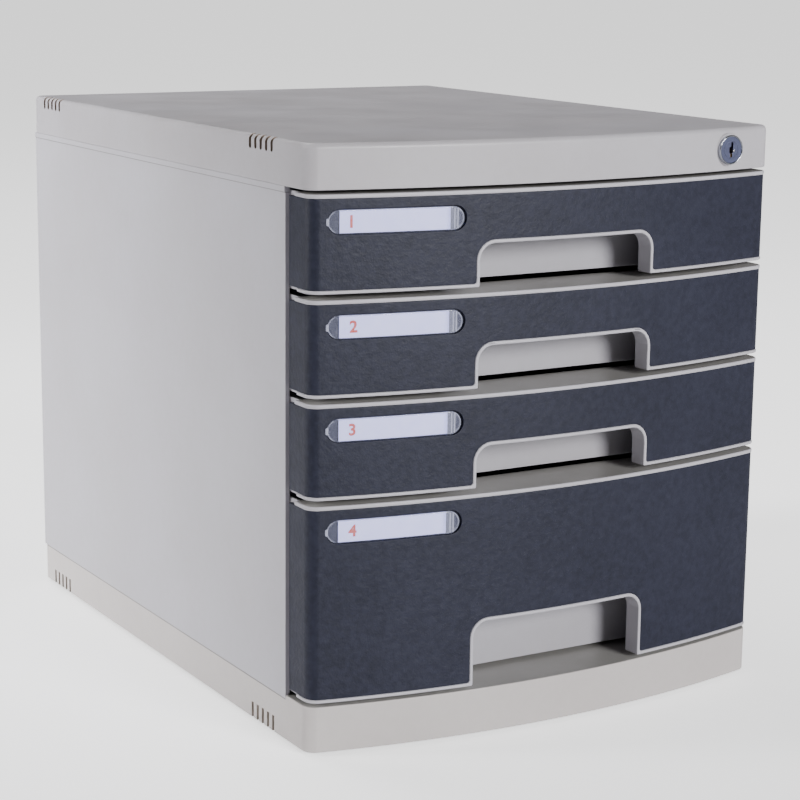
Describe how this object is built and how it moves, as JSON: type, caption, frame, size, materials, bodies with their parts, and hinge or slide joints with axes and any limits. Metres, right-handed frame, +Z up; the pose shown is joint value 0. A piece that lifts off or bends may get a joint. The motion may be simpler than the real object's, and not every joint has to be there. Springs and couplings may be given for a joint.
{
  "type": "desktop drawer cabinet",
  "caption": "Lockable desktop cabinet for A4 paper: shallow drawers over a deep one, bowed slate fronts with finger notches and label windows, in a light-grey moulded case.",
  "frame": {"origin": "bottom centre of the bounding box, on the surface that the feet stand on", "axes": "+Z up, the drawers open toward -Y, +X to the right as seen by the user in front of the drawers"},
  "size_m": [0.302, 0.403, 0.3303],
  "materials": {
    "shell_plastic": "fine moulded texture, satin",
    "lid_plastic": "fine moulded texture, satin",
    "slate_plastic": "fine moulded texture, matt",
    "label_paper": "plain uncoated card",
    "clear_plastic": "clear, polished",
    "lock_chrome": "bright plated",
    "plated_steel": "zinc plated",
    "foot_rubber": "matt"
  },
  "bodies": {
    "cabinet": {"base": "shell_plastic", "left_side_panel": "shell_plastic", "right_side_panel": "shell_plastic", "back_panel": "shell_plastic", "lid": "lid_plastic", "rubber_feet": "foot_rubber", "base_screws": "plated_steel", "lid_screws": "plated_steel", "lock_housing": "lock_chrome", "lock_nut": "plated_steel", "bar_guides": "plated_steel"},
    "lock_plug": {"lock_plug": "lock_chrome", "lock_cam": "plated_steel", "cam_screw": "plated_steel"},
    "lock_bar": {"lock_bar": "plated_steel", "bar_pawls": "plated_steel"},
    "drawer_1": {"drawer_1_tray": "shell_plastic", "drawer_1_front_frame": "shell_plastic", "drawer_1_fascia": "slate_plastic", "drawer_1_label_card": "label_paper", "drawer_1_label_window": "clear_plastic", "drawer_1_front_screws": "plated_steel"},
    "drawer_2": {"drawer_2_tray": "shell_plastic", "drawer_2_front_frame": "shell_plastic", "drawer_2_fascia": "slate_plastic", "drawer_2_label_card": "label_paper", "drawer_2_label_window": "clear_plastic", "drawer_2_front_screws": "plated_steel"},
    "drawer_3": {"drawer_3_tray": "shell_plastic", "drawer_3_front_frame": "shell_plastic", "drawer_3_fascia": "slate_plastic", "drawer_3_label_card": "label_paper", "drawer_3_label_window": "clear_plastic", "drawer_3_front_screws": "plated_steel"},
    "drawer_4": {"drawer_4_tray": "shell_plastic", "drawer_4_front_frame": "shell_plastic", "drawer_4_fascia": "slate_plastic", "drawer_4_label_card": "label_paper", "drawer_4_label_window": "clear_plastic", "drawer_4_front_screws": "plated_steel"}
  },
  "joints": [
    {"name": "drawer_1_slide", "type": "slide", "parent": "cabinet", "child": "drawer_1", "axis": [0, -1, 0], "range_m": [0, 0.26]},
    {"name": "drawer_2_slide", "type": "slide", "parent": "cabinet", "child": "drawer_2", "axis": [0, -1, 0], "range_m": [0, 0.26]},
    {"name": "drawer_3_slide", "type": "slide", "parent": "cabinet", "child": "drawer_3", "axis": [0, -1, 0], "range_m": [0, 0.26]},
    {"name": "drawer_4_slide", "type": "slide", "parent": "cabinet", "child": "drawer_4", "axis": [0, -1, 0], "range_m": [0, 0.26]},
    {"name": "lock_turn", "type": "hinge", "parent": "cabinet", "child": "lock_plug", "pos_m": [0.114, -0.19175, 0.3182], "axis": [0, -1, 0], "range_deg": [0, 90]},
    {"name": "lock_bar_lift", "type": "slide", "parent": "cabinet", "child": "lock_bar", "axis": [0, 0, 1], "range_m": [0, 0.006]}
  ],
  "couplings": [
    {"joint": "lock_bar_lift", "follows": "lock_turn", "m_per_rad": 0.0038197}
  ]
}
